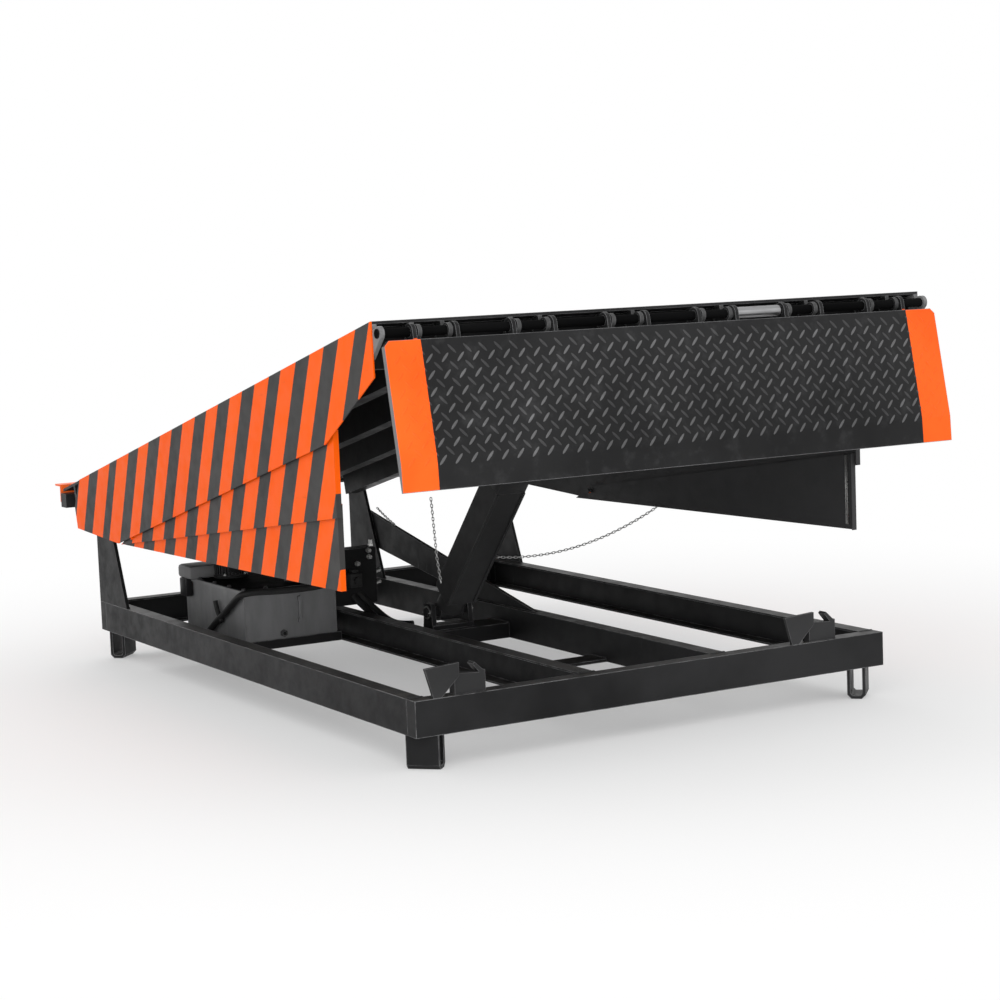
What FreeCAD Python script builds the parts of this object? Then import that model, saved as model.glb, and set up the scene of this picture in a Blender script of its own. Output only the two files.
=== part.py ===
import FreeCAD, Part
import os
import re
import Sketcher

# Dock leveler: a steel base frame, a tilting deck with a folding lip, fan-shaped toe guards,
# one lift cylinder and a power pack. Millimetres, +Z up, the lip end faces -Y.

os.makedirs("parts", exist_ok=True)
doc = FreeCAD.newDocument("dock_leveler")
sheet = doc.addObject("Spreadsheet::Sheet", "Sheet")
work = doc.addObject("Spreadsheet::Sheet", "Work")

# Driving dimensions
SIZES = [
    # base frame
    ("front_y", -1117), ("frame_in", 110), ("frame_length", 2340), ("rail_height", 100),
    ("rail_width", 48), ("rail_wall", 6), ("leg_height", 95), ("centre_inner", 396),
    ("strap_start", 600), ("strap_width", 90), ("strap_thick", 10),
    ("foot_beam_front", 55), ("foot_beam_depth", 120), ("foot_beam_height", 50),
    ("tray_back", 800), ("tray_depth", 510), ("tray_height", 30), ("tray_wall", 5),
    # corner legs
    ("leg_plate", 10), ("leg_span", 55), ("leg_breadth", 92), ("leg_chamfer", 12),
    ("leg_inner_chamfer", 6), ("leg_in", 54), ("leg_angle", 45),
    # rear posts and header
    ("post_thick", 12), ("post_foot", 250), ("post_head", 110), ("header_in", 15),
    ("header_rise", 440), ("header_height", 48), ("header_depth", 50), ("leaf_width", 1800),
    ("curb_top", 517), ("curb_reach", 53.2), ("curb_wall", 6), ("curb_drop", 60),
    ("ear_web", 39),
    # centre brace
    ("brace_thick", 12), ("brace_top", 341), ("brace_depth", 122), ("brace_head_in", 125),
    ("brace_toe", 1308), ("brace_heel", 386),
    # rear hinge
    ("hinge_reach", 35), ("hinge_z", 474), ("hinge_rod", 13), ("hinge_boss", 26), ("play", 0.5),
    ("side_margin", 162.5), ("hinge_over", 60), ("lug_half", 18), ("lug_depth", 18),
    ("ear_gap", 7), ("ear_thick", 12),
    # deck
    ("leaf_tilt", 14), ("deck_top", 45), ("deck_rear", 60), ("deck_front", 2428), ("deck_thick", 8),
    ("beam_height", 120), ("beam_width", 50), ("beam_wall", 6),
    ("nose_set", 36), ("nose_thick", 10), ("nose_depth", 110), ("nose_step", 14),
    ("tail_set", 50), ("tail_thick", 10), ("tail_depth", 55),
    # lip
    ("lip_axis_out", 20), ("lip_axis_drop", 37), ("lip_edge", 26), ("lip_length", 387),
    ("lip_thick", 16), ("lip_lean", 2.2), ("lip_bevel", 70), ("lip_tip", 6), ("lip_rod", 12.5),
    ("lip_boss", 19), ("lip_lug_boss", 22), ("lip_pair", 45), ("lip_lug_reach", 120),
    ("lip_corner", 14), ("lip_gap", 6), ("lip_rod_over", 3), ("ear_neck", 9.5), ("ear_reach", 57),
    # toe guards
    ("guard_sheet", 4), ("guard_gap", 6), ("guard_thin", 3),
    ("pivot_back", 515), ("pivot_drop", 216), ("pivot_rod", 8), ("pivot_length", 30),
    ("guard_boss", 18), ("guard_front_low", 140.5), ("guard_front_in", 28),
    ("guard_corner_y", 2059), ("guard_corner_z", 204), ("guard_apex_y", 411),
    ("guard_apex_z", 219), ("guard_tail_y", 45), ("guard_tail_z", 110), ("guard_tail_cut", 78),
    ("guard_flange", 16), ("fan_heel_y", 100), ("fan_heel_z", 33), ("mid_reach", 1527),
    ("mid_low", 189), ("mid_high", 425), ("low_reach", 1514), ("low_low", 11), ("low_high", 225),
    # lift cylinder
    ("foot_back", 1045), ("foot_z", 108), ("head_back", 1755), ("head_drop", 51),
    ("barrel_radius", 45),
    ("barrel_length", 600), ("barrel_start", 24), ("barrel_bore", 70), ("barrel_eye", 30),
    ("housing_start", 80), ("housing_width", 104), ("housing_depth", 90),
    ("eye_half", 42), ("foot_pin", 16), ("rod_radius", 25), ("rod_length", 640), ("rod_eye", 30),
    ("rod_eye_half", 25), ("head_pin", 15), ("foot_lug", 16), ("foot_lug_gap", 60),
    ("foot_pad", 16), ("foot_lug_half", 32), ("foot_lug_neck", 24), ("foot_lug_top", 30),
    ("pin_over", 8), ("head_lug", 14), ("head_lug_gap", 31), ("head_lug_neck", 30),
    ("head_lug_half", 90), ("head_pad", 10),
    # power pack
    ("tank_in", 200), ("tank_width", 328), ("tank_set", 4), ("tank_depth", 490),
    ("tank_height", 170), ("tank_lid", 10), ("tank_rim", 7), ("motor_radius", 60),
    ("motor_height", 110), ("motor_in", 110), ("motor_back", 356), ("pump_block", 62),
    ("pump_width", 158), ("pump_height", 188), ("pump_z", 112), ("pump_motor", 52),
    ("pump_motor_length", 210),
    # lip keepers
    ("keeper_left", -663), ("keeper_right", 524), ("keeper_width", 95), ("keeper_depth", 40),
    ("keeper_height", 58), ("keeper_wall", 6), ("keeper_plate", 10), ("keeper_rise", 88),
    ("keeper_spread", 104), ("keeper_foot", 24), ("keeper_lap", 10),
    ("flap_rise", 24), ("flap_in", 32),
]
for row, (alias, value) in enumerate(SIZES, 1):
    sheet.set(f"A{row}", alias)
    sheet.set(f"B{row}", str(value))
    sheet.setAlias(f"B{row}", alias)
doc.recompute()
WORDS = re.compile(r"\b(" + "|".join(sorted((a for a, _ in SIZES), key=len, reverse=True)) + r")\b")


def bound(text):
    return WORDS.sub(r"Sheet.\1", str(text))


def number(text):
    work.set("A1", "=" + bound(text))
    work.recompute()
    return float(getattr(work.get("A1"), "Value", work.get("A1")))


# Frames: the Y and Z of an origin and the upward tilt of its -Y side
NOSE = "(deck_front + lip_axis_out)"
DROP = "(deck_top - lip_axis_drop)"
HEADER = "(frame_length - header_in)"
HINGE_Y = "(frame_length - header_in - hinge_reach)"
STEP = "((leaf_width - 2 * side_margin) / 5)"
FRAME = "(leaf_width - 2 * frame_in)"
FOOT_Y = f"({HINGE_Y} - foot_back)"
HEAD_Y = f"({HINGE_Y} - head_back * cos(leaf_tilt) - head_drop * sin(leaf_tilt))"
HEAD_Z = "(hinge_z + head_back * sin(leaf_tilt) - head_drop * cos(leaf_tilt))"
TRAY_Y = "(frame_length - tray_back)"
TANK_X = f"({FRAME} / -2 + tank_in)"
TANK_Y = f"({TRAY_Y} + tank_set)"
HINGE = (f"front_y + {HINGE_Y}", "leg_height + hinge_z")
FRAMES = {
    "base": ("front_y", "leg_height", "0"),
    "leaf": (*HINGE, "leaf_tilt"),
    "lip": (f"{HINGE[0]} - {NOSE} * cos(leaf_tilt) + {DROP} * sin(leaf_tilt)",
            f"{HINGE[1]} + {NOSE} * sin(leaf_tilt) + {DROP} * cos(leaf_tilt)",
            "leaf_tilt - lip_lean"),
    "fan": (f"{HINGE[0]} - pivot_back * cos(leaf_tilt) - pivot_drop * sin(leaf_tilt)",
            f"{HINGE[1]} + pivot_back * sin(leaf_tilt) - pivot_drop * cos(leaf_tilt)", "0"),
    "lift": (f"front_y + {FOOT_Y}", "leg_height + foot_z",
             f"-1 * atan(({FOOT_Y} - {HEAD_Y}) / ({HEAD_Z} - foot_z)) / 1 deg"),
}
here = "base"


def put(item, x, y, z, turn="0"):
    """Places an item in the frame in use, turned about X by the frame's tilt plus turn."""
    oy, oz, tilt = FRAMES[here]
    item.Placement = FreeCAD.Placement(FreeCAD.Vector(),
                                       FreeCAD.Rotation(FreeCAD.Vector(-1, 0, 0), 10))
    item.setExpression("Placement.Rotation.Angle", bound(f"({tilt}) + ({turn})"))
    item.setExpression("Placement.Base.x", bound(x))
    a = f"(({tilt}) * 1 deg)"
    item.setExpression("Placement.Base.y", bound(f"{oy} + ({y}) * cos{a} + ({z}) * sin{a}"))
    item.setExpression("Placement.Base.z", bound(f"{oz} - ({y}) * sin{a} + ({z}) * cos{a}"))
    return item


def block(name, x, y, z, dx, dy, dz):
    b = doc.addObject("Part::Box", name)
    for prop, text in (("Length", dx), ("Width", dy), ("Height", dz)):
        b.setExpression(prop, bound(text))
    return put(b, x, y, z)


def bar(name, x, y, z, radius, length, axis="X"):
    c = doc.addObject("Part::Cylinder", name)
    c.setExpression("Radius", bound(radius))
    c.setExpression("Height", bound(length))
    put(c, x, y, z, "90" if axis == "Y" else "0")
    if axis == "X":
        c.setExpression("Placement.Rotation.Angle", None)
        c.Placement.Rotation = FreeCAD.Rotation(FreeCAD.Vector(0, 1, 0), 90)
    return c


def profile(name, points, start, length, along="X"):
    """Pads a closed outline of (Y, Z) pairs along +X, or of (X, Z) pairs along +Y, from start."""
    body = doc.addObject("PartDesign::Body", name)
    sketch = body.newObject("Sketcher::SketchObject", name + "_outline")
    plane = "YZ_Plane" if along == "X" else "XZ_Plane"
    origin = next(o for o in body.Origin.OriginFeatures if o.Role == plane)
    sketch.AttachmentSupport = (origin, [""])
    sketch.MapMode = "FlatFace"
    offset = start if along == "X" else f"-1 * ({start}) - ({length})"
    sketch.setExpression("AttachmentOffset.Base.z", bound(offset))
    probe = [[number(t) for t in p] for p in points]
    n = len(points)
    for i in range(n):
        a, b = probe[i], probe[(i + 1) % n]
        sketch.addGeometry(Part.LineSegment(FreeCAD.Vector(*a, 0), FreeCAD.Vector(*b, 0)), False)
    for i in range(n):
        sketch.addConstraint(Sketcher.Constraint("Coincident", i, 2, (i + 1) % n, 1))
    for i in range(n):
        for kind, k, line in (("DistanceX", 0, -2), ("DistanceY", 1, -1)):
            v = probe[i][k]
            if abs(v) < 1e-9:
                sketch.addConstraint(Sketcher.Constraint("PointOnObject", i, 1, line))
                continue
            ends = (-1, 1, i, 1) if v > 0 else (i, 1, -1, 1)
            c = sketch.addConstraint(Sketcher.Constraint(kind, *ends, abs(v)))
            text = f"{'' if v > 0 else '-1 * '}({points[i][k]})"
            sketch.setExpression(f"Constraints[{c}]", bound(text))
    pad = body.newObject("PartDesign::Pad", name + "_pad")
    pad.Profile = sketch
    pad.setExpression("Length", bound(length))
    body.Tip = pad
    return put(body, "0", "0", "0")


def join(name, *items):
    f = doc.addObject("Part::MultiFuse", name)
    f.Shapes = list(items)
    f.Refine = True
    return f


def less(name, base, *tools):
    c = doc.addObject("Part::Cut", name)
    c.Base = base
    c.Tool = tools[0] if len(tools) == 1 else join(name + "_tools", *tools)
    c.Refine = True
    return c


NODES = []


def node(label, item):
    item.Label = label
    NODES.append(item)
    return item


def edge(sign, outer, width):
    """X of a block whose outer face stands at the given distance on that side."""
    return f"-1 * ({outer})" if sign < 0 else f"({outer}) - ({width})"


SIDES = (("left", -1), ("right", 1))
STATIONS = (-2.5, -1.5, -0.5, 0.5, 1.5, 2.5)

def channel(x_or_y, reach, low, height, width, wall):
    """A C outline: its web stands at x_or_y, its flanges reach to the side of the given sign."""
    far, in_far = f"{x_or_y} + {reach} * ({width})", f"{x_or_y} + {reach} * ({wall})"
    return ((x_or_y, low), (far, low), (far, f"{low} + {wall}"), (in_far, f"{low} + {wall}"),
            (in_far, f"{low} + {height} - {wall}"), (far, f"{low} + {height} - {wall}"),
            (far, f"{low} + {height}"), (x_or_y, f"{low} + {height}"))


# Base frame
run = "frame_length - 2 * rail_width"
for side, s in SIDES:
    node(f"rail_{side}", profile(f"rail_{side}_bar", channel(
         f"{s} * {FRAME} / 2", -s, "0", "rail_height", "rail_width", "rail_wall"),
         "rail_width", run, "Y"))
    node(f"centre_channel_{side}", profile(f"centre_{side}_bar", channel(
         f"{s} * centre_inner / 2", s, "0", "rail_height", "rail_width", "rail_wall"),
         "rail_width", run, "Y"))
for name, y, reach in (("front_beam", "0", 1), ("rear_beam", "frame_length", -1)):
    beam = profile(name + "_bar", channel(y, reach, "0", "rail_height", "rail_width",
                                          "rail_wall"), f"-1 * {FRAME} / 2", FRAME)
    caps = [block(f"{name}_cap_{side}", edge(s, f"{FRAME} / 2", "rail_wall"),
                  "0" if reach > 0 else "frame_length - rail_width", "0", "rail_wall",
                  "rail_width", "rail_height") for side, s in SIDES]
    node(name, join(name + "_all", beam, *caps))
node("cross_strap", block("strap_bar", "-1 * centre_inner / 2", "strap_start", "0",
                          "centre_inner", "strap_width", "strap_thick"))
tray_long = f"{FRAME} / 2 - centre_inner / 2 - 2 * rail_width"
node("pack_tray", profile("tray_bar", (
     (TRAY_Y, "0"), (f"{TRAY_Y} + tray_wall", "0"),
     (f"{TRAY_Y} + tray_wall", "tray_height - tray_wall"),
     (f"{TRAY_Y} + tray_depth - tray_wall", "tray_height - tray_wall"),
     (f"{TRAY_Y} + tray_depth - tray_wall", "0"), (f"{TRAY_Y} + tray_depth", "0"),
     (f"{TRAY_Y} + tray_depth", "tray_height"), (TRAY_Y, "tray_height")),
     f"-1 * {FRAME} / 2 + rail_width", tray_long))

# Corner legs
U = "leg_span / 2"
leg_shape = ((f"-1 * {U}", "leg_height"), (f"-1 * {U}", "leg_chamfer"),
             (f"-1 * {U} + leg_chamfer", "0"), (f"{U} - leg_chamfer", "0"),
             (U, "leg_chamfer"), (U, "leg_height"), (f"{U} - leg_plate", "leg_height"),
             (f"{U} - leg_plate", "leg_plate + leg_inner_chamfer"),
             (f"{U} - leg_plate - leg_inner_chamfer", "leg_plate"),
             (f"-1 * {U} + leg_plate + leg_inner_chamfer", "leg_plate"),
             (f"-1 * {U} + leg_plate", "leg_plate + leg_inner_chamfer"),
             (f"-1 * {U} + leg_plate", "leg_height"))
for end, y, e in (("front", "front_y + leg_in", 1), ("rear", "front_y + frame_length - leg_in", -1)):
    for side, s in SIDES:
        leg = profile(f"leg_{end}_{side}_strap", leg_shape, "-1 * leg_breadth / 2", "leg_breadth")
        leg.Placement = FreeCAD.Placement(FreeCAD.Vector(), FreeCAD.Rotation(
            FreeCAD.Vector(0, 0, s * e), 10))
        leg.setExpression("Placement.Rotation.Angle", bound("leg_angle"))
        leg.setExpression("Placement.Base.x", bound(f"{s} * ({FRAME} / 2 - leg_in)"))
        leg.setExpression("Placement.Base.y", bound(y))
        leg.setExpression("Placement.Base.z", None)
        leg.Placement.Base.z = 0
        node(f"leg_{end}_{side}", leg)

# Rear posts, header and curb plate
POST = (("frame_length - post_foot", "rail_height"), ("frame_length", "rail_height"),
        ("frame_length", "header_rise"), ("frame_length - post_head", "header_rise"))
for side, s in SIDES:
    node(f"rear_post_{side}", profile(f"post_{side}", POST,
         edge(s, f"{FRAME} / 2", "post_thick"), "post_thick"))
middle = [profile(f"middle_post_{side}", POST,
                  edge(s, "centre_inner / 2 + post_thick", "post_thick"), "post_thick")
          for side, s in SIDES]
pieces = [block("header_bar", "-1 * leaf_width / 2", HEADER, "header_rise", "leaf_width",
                "header_depth", "header_height")]
for i, k in enumerate(STATIONS):
    for j, off in enumerate(("-1 * lug_half - ear_gap - ear_thick", "lug_half + ear_gap")):
        x = f"{k} * {STEP} + {off}"
        pieces += [bar(f"ear_boss_{i}{j}", x, HINGE_Y, "hinge_z", "hinge_boss", "ear_thick"),
                   block(f"ear_web_{i}{j}", x, HINGE_Y, "hinge_z - hinge_boss", "ear_thick",
                         "hinge_reach", "ear_web")]
node("rear_header", less("header_cut", join("header_all", *middle, *pieces),
     bar("header_hole", "-1 * leaf_width / 2", HINGE_Y, "hinge_z", "hinge_rod", "leaf_width")))
node("hinge_rod", bar("hinge_rod_bar", "-1 * leaf_width / 2 + side_margin - hinge_over", HINGE_Y,
                      "hinge_z", "hinge_rod", "leaf_width - 2 * side_margin + 2 * hinge_over"))
node("curb_plate", profile("curb_bend", (
     (f"{HEADER} + header_depth", "curb_top - curb_drop"),
     (f"{HEADER} + header_depth + curb_wall", "curb_top - curb_drop"),
     (f"{HEADER} + header_depth + curb_wall", "curb_top - curb_wall"),
     (f"{HEADER} + header_depth + curb_reach", "curb_top - curb_wall"),
     (f"{HEADER} + header_depth + curb_reach", "curb_top"),
     (f"{HEADER} + header_depth", "curb_top")), "-1 * leaf_width / 2", "leaf_width"))

# Centre brace from the right middle post down to the centre channel
node("centre_brace", profile("brace_plate", (
     ("frame_length - brace_head_in", "brace_top"),
     ("frame_length - brace_head_in", "brace_top - brace_depth"),
     ("frame_length - brace_toe + brace_heel", "rail_height"),
     ("frame_length - brace_toe", "rail_height")),
     "centre_inner / 2 + post_thick", "brace_thick"))

# Foot beam and lift cylinder foot
lugs = [block("foot_beam_bar", "-1 * centre_inner / 2", f"{FOOT_Y} - foot_beam_front", "0",
              "centre_inner", "foot_beam_depth", "foot_beam_height"),
        block("foot_pad_bar", "-1 * foot_lug_gap - foot_lug", f"{FOOT_Y} - foot_lug_half",
              "foot_beam_height", "2 * foot_lug_gap + 2 * foot_lug", "2 * foot_lug_half",
              "foot_pad"),
        bar("foot_pin_bar", "-1 * foot_lug_gap - foot_lug - pin_over", FOOT_Y, "foot_z",
            "foot_pin", "2 * foot_lug_gap + 2 * foot_lug + 2 * pin_over")]
for side, s in SIDES:
    lugs.append(profile(f"foot_lug_{side}", (
        (f"{FOOT_Y} - foot_lug_half", "foot_beam_height"),
        (f"{FOOT_Y} + foot_lug_half", "foot_beam_height"),
        (f"{FOOT_Y} + foot_lug_neck", "foot_z + foot_lug_top"),
        (f"{FOOT_Y} - foot_lug_neck", "foot_z + foot_lug_top")),
        edge(s, "foot_lug_gap + foot_lug", "foot_lug"), "foot_lug"))
node("foot_beam", join("foot_all", *lugs))

# Power pack
lid = "tray_height + tank_height"
node("pack_tank", profile("tank_box", (
     (TANK_X, "tray_height"), (f"{TANK_X} + tank_width", "tray_height"),
     (f"{TANK_X} + tank_width", f"{lid} - tank_lid"),
     (f"{TANK_X} + tank_width + tank_rim", f"{lid} - tank_lid"),
     (f"{TANK_X} + tank_width + tank_rim", lid), (f"{TANK_X} - tank_rim", lid),
     (f"{TANK_X} - tank_rim", f"{lid} - tank_lid"), (TANK_X, f"{lid} - tank_lid")),
     TANK_Y, "tank_depth", "Y"))
node("pack_motor", bar("motor_can", f"{TANK_X} + motor_in", f"{TANK_Y} + motor_back", lid,
                       "motor_radius", "motor_height", "Z"))
pump_x = f"{TANK_X} + tank_width"
node("pack_pump", join("pump_all",
     profile("pump_valves", (
         (pump_x, "pump_z"), (f"{pump_x} + pump_width", "pump_z"),
         (f"{pump_x} + pump_width", "pump_z + pump_height"),
         (f"{pump_x} + tank_rim + keeper_lap", "pump_z + pump_height"),
         (f"{pump_x} + tank_rim + keeper_lap", f"{lid} - 2 * tank_lid"),
         (pump_x, f"{lid} - 2 * tank_lid")), TANK_Y, "pump_block", "Y"),
     bar("pump_motor_can", f"{pump_x} + pump_width / 2", f"{TANK_Y} + pump_block",
         "pump_z + pump_motor", "pump_motor", "pump_motor_length", "Y")))

# Lip keepers
for side, s in SIDES:
    x, top = f"keeper_{side}", "rail_height + keeper_height"
    v = f"(keeper_{side} + keeper_lap - keeper_spread)"
    node(f"keeper_{side}", join(f"keeper_{side}_all",
         profile(f"keeper_{side}_box", (
             (x, "rail_height"), (f"{x} + keeper_width", "rail_height"),
             (f"{x} + keeper_width", top), (f"{x} + keeper_width - keeper_wall", top),
             (f"{x} + keeper_width - flap_in", f"{top} + flap_rise"),
             (f"{x} + keeper_width - flap_in - keeper_wall", f"{top} + flap_rise - keeper_wall"),
             (f"{x} + keeper_width - 3 * keeper_wall", f"{top} - keeper_wall"), (x, top)),
             "keeper_plate", "keeper_depth - keeper_plate", "Y"),
         profile(f"keeper_{side}_wedge", (
             (f"{v} + keeper_foot", "rail_height"), (f"{v} + 2 * keeper_foot", "rail_height"),
             (f"{v} + keeper_spread", f"{top} - keeper_wall"),
             (f"{v} + keeper_spread", "rail_height + keeper_rise"),
             (v, "rail_height + keeper_rise - keeper_wall")), "0", "keeper_plate", "Y")))

# Deck
here = "leaf"
under = "deck_top - deck_thick"
skin = "leaf_width / 2 - guard_sheet"
node("deck_plate", block("deck_sheet", f"-1 * ({skin})", "-1 * deck_front", under,
                         f"2 * ({skin})", "deck_front + deck_rear", "deck_thick"))
beam_from = "-1 * deck_front + nose_set + nose_thick"
beam_run = "deck_front - nose_set - nose_thick - tail_set - tail_thick"
for i, k in enumerate(STATIONS):
    node(f"deck_beam_{i + 1}", profile(f"beam_{i}_bar", channel(
         f"{k} * {STEP} - beam_width / 2", 1, f"{under} - beam_height", "beam_height",
         "beam_width", "beam_wall"), beam_from, beam_run, "Y"))
nose = [block("nose_bar_plate", f"-1 * ({skin})", "-1 * deck_front + nose_set",
              f"{under} - nose_depth", f"2 * ({skin})", "nose_thick", "nose_depth")]
ear_y = f"-1 * {NOSE}"
ear_shape = (("-1 * deck_front + nose_set", under), ("-1 * deck_front", under),
             ("-1 * deck_front", f"{under} - nose_step"),
             (f"{ear_y} - ear_neck", f"{DROP} + lip_boss - nose_step / 5"),
             (f"{ear_y} - ear_neck", f"{DROP} - lip_boss + nose_step / 5"),
             ("-1 * deck_front + nose_set", f"{DROP} - ear_reach"))
spots = [f"{k} * {STEP} + {o}" for k in STATIONS
         for o in ("-1 * lip_pair - ear_thick / 2", "lip_pair - ear_thick / 2")]
spots += [f"-1 * ({skin})", f"({skin}) - ear_thick"]
for i, x in enumerate(spots):
    nose += [profile(f"nose_ear_{i}", ear_shape, x, "ear_thick"),
             bar(f"nose_boss_{i}", x, ear_y, DROP, "lip_boss", "ear_thick")]
node("nose_bar", less("nose_cut", join("nose_all", *nose),
     bar("nose_hole", "-1 * leaf_width / 2", ear_y, DROP, "lip_rod", "leaf_width")))
node("lip_rod", bar("lip_rod_bar", f"-1 * ({skin}) - lip_rod_over", ear_y, DROP, "lip_rod",
                    f"2 * ({skin}) + 2 * lip_rod_over"))
tail = [block("tail_bar_plate", f"-1 * ({skin})", "-1 * tail_set - tail_thick",
              f"{under} - tail_depth", f"2 * ({skin})", "tail_thick", "tail_depth")]
for i, k in enumerate(STATIONS):
    x = f"{k} * {STEP} - lug_half"
    tail += [block(f"tail_lug_{i}", x, "-1 * tail_set", "-1 * lug_depth", "2 * lug_half",
                   "tail_set", f"{under} + lug_depth"),
             bar(f"tail_boss_{i}", x, "0", "0", "hinge_boss", "2 * lug_half")]
node("tail_bar", less("tail_cut", join("tail_all", *tail),
     bar("tail_hole", "-1 * leaf_width / 2", "0", "0", "hinge_rod + play", "leaf_width")))
head = [block("head_pad_bar", "-1 * head_lug_gap - head_lug", "-1 * head_back - head_lug_half",
              f"{under} - head_pad", "2 * head_lug_gap + 2 * head_lug", "2 * head_lug_half",
              "head_pad")]
for side, s in SIDES:
    head.append(profile(f"head_lug_{side}", (
        ("-1 * head_back - head_lug_half", under),
        ("-1 * head_back - head_lug_neck", "-1 * head_drop - rod_eye"),
        ("-1 * head_back + head_lug_neck", "-1 * head_drop - rod_eye"),
        ("-1 * head_back + head_lug_half", under)),
        edge(s, "head_lug_gap + head_lug", "head_lug"), "head_lug"))
node("head_bracket", join("head_all", *head))

# Toe guards
for side, s in SIDES:
    node(f"guard_upper_{side}", join(f"upper_{side}_all", profile(f"upper_{side}", (
         ("-1 * deck_front", "deck_top"),
         ("-1 * deck_front + guard_front_in", "deck_top - guard_front_low"),
         ("-1 * guard_corner_y", "-1 * guard_corner_z"), ("-1 * guard_apex_y", "-1 * guard_apex_z"),
         ("-1 * guard_tail_y", "-1 * guard_tail_z"),
         ("-1 * guard_tail_y", "deck_top - guard_tail_cut"),
         ("-1 * guard_tail_y - guard_tail_cut", "deck_top")),
         edge(s, "leaf_width / 2", "guard_sheet"), "guard_sheet"),
         bar(f"upper_{side}_pin", edge(s, "leaf_width / 2 - guard_sheet", "pivot_length"),
             "-1 * pivot_back", "-1 * pivot_drop", "pivot_rod", "pivot_length")))
here = "fan"
for part, low, order in (("mid", "mid_low", 1), ("low", "-1 * low_low", 2)):
    outer = f"leaf_width / 2 - guard_sheet - {order} * guard_gap - {order - 1} * guard_thin"
    front, fold, high = f"-1 * {part}_reach", f"guard_thin - {part}_reach", f"{part}_high"
    for side, s in SIDES:
        name = f"{part}_{side}"
        node(f"guard_{name}", less(f"{name}_cut", join(f"{name}_all",
             profile(f"{name}_sheet", (("fan_heel_y", "-1 * fan_heel_z"), (front, low),
                                       (front, high), ("0", "guard_boss")),
                     edge(s, outer, "guard_thin"), "guard_thin"),
             profile(f"{name}_flange", ((front, low), (front, high), (fold, high), (fold, low)),
                     edge(s, outer, "guard_flange"), "guard_flange"),
             bar(f"{name}_boss", edge(s, outer, "guard_thin"), "0", "0", "guard_boss",
                 "guard_thin")),
             bar(f"{name}_hole", edge(s, f"{outer} + 1", "guard_thin + 2"), "0", "0",
                 "pivot_rod + play", "guard_thin + 2")))

# Lip
here = "lip"
face, back = "-1 * lip_axis_drop", "(lip_thick - lip_axis_drop)"
half, foot = "leaf_width / 2", "(-1 * lip_edge - lip_length)"
lip = [less("lip_sheet_cut",
            profile("lip_sheet", (
                (f"-1 * {half}", foot), (half, foot), (half, "-1 * lip_edge - lip_corner"),
                (f"{half} - lip_corner", "-1 * lip_edge"),
                (f"-1 * {half} + lip_corner", "-1 * lip_edge"),
                (f"-1 * {half}", "-1 * lip_edge - lip_corner")), face, "lip_thick", "Y"),
            profile("lip_bevel_cut", (
                (f"{face} - lip_tip", f"{foot} - lip_tip"), (f"{back} - lip_tip", f"{foot} - lip_tip"),
                (f"{back} - lip_tip", foot), (face, f"{foot} + lip_bevel"),
                (f"{face} - lip_tip", f"{foot} + lip_bevel")), f"-1 * {half} - 1", f"2 * {half} + 2"))]
for i, k in enumerate(STATIONS):
    for j, o in enumerate(("-1 * lip_pair - 1.5 * ear_thick - lip_gap",
                           "lip_pair + ear_thick / 2 + lip_gap")):
        x = f"{k} * {STEP} + {o}"
        lip += [profile(f"lip_lug_{i}{j}", (
                    (back, "-1 * lip_lug_reach"), (back, "-1 * lip_edge - lip_corner"),
                    ("-1 * lip_lug_boss", "0"), ("lip_lug_boss", "0")), x, "ear_thick"),
                bar(f"lip_boss_{i}{j}", x, "0", "0", "lip_lug_boss", "ear_thick")]
node("lip_plate", less("lip_cut", join("lip_all", *lip),
     bar("lip_hole", f"-1 * {half}", "0", "0", "lip_rod + play", "leaf_width")))

# Lift cylinder
here = "lift"
span = f"sqrt(({FOOT_Y} - {HEAD_Y}) ^ 2 + ({HEAD_Z} - foot_z) ^ 2)"
node("lift_barrel", less("barrel_cut",
     join("barrel_all", bar("barrel_tube", "0", "0", "barrel_start", "barrel_radius",
                            "barrel_length - barrel_start", "Z"),
          profile("barrel_housing", (
              ("-1 * housing_depth / 2", "housing_start"), ("housing_depth / 2", "housing_start"),
              ("housing_depth / 2", "barrel_length"), ("-1 * housing_depth / 2", "barrel_length")),
              "-1 * housing_width / 2", "housing_width"),
          bar("barrel_eye_boss", "-1 * eye_half", "0", "0", "barrel_eye", "2 * eye_half")),
     bar("barrel_pin_hole", "-1 * eye_half - 1", "0", "0", "foot_pin + play", "2 * eye_half + 2"),
     bar("barrel_bore_hole", "0", "0", "barrel_bore", "rod_radius + play", "barrel_length", "Z")))
node("lift_rod", less("rod_cut",
     join("rod_all", bar("rod_shaft", "0", "0", f"{span} - rod_length", "rod_radius", "rod_length", "Z"),
          bar("rod_eye_boss", "-1 * rod_eye_half", "0", span, "rod_eye", "2 * rod_eye_half")),
     bar("rod_eye_hole", "-1 * rod_eye_half - 1", "0", span, "head_pin", "2 * rod_eye_half + 2")))

doc.recompute()
for item in doc.Objects:
    if "Invalid" in item.State or "Error" in item.State:
        raise SystemExit(f"{item.Label} has an error: {item.State}")
box = FreeCAD.BoundBox()
for item in NODES:
    shape = item.Shape
    if shape.isNull() or not shape.isValid() or len(shape.Solids) != 1:
        raise SystemExit(f"{item.Label}: {len(shape.Solids)} solids, valid {shape.isValid()}")
    box.add(shape.BoundBox)
    shape.exportStep(f"parts/{item.Label}.step")
print(len(NODES), "pieces", box)
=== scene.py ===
import math
import bpy
import bmesh
from mathutils import Matrix, Vector


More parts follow.
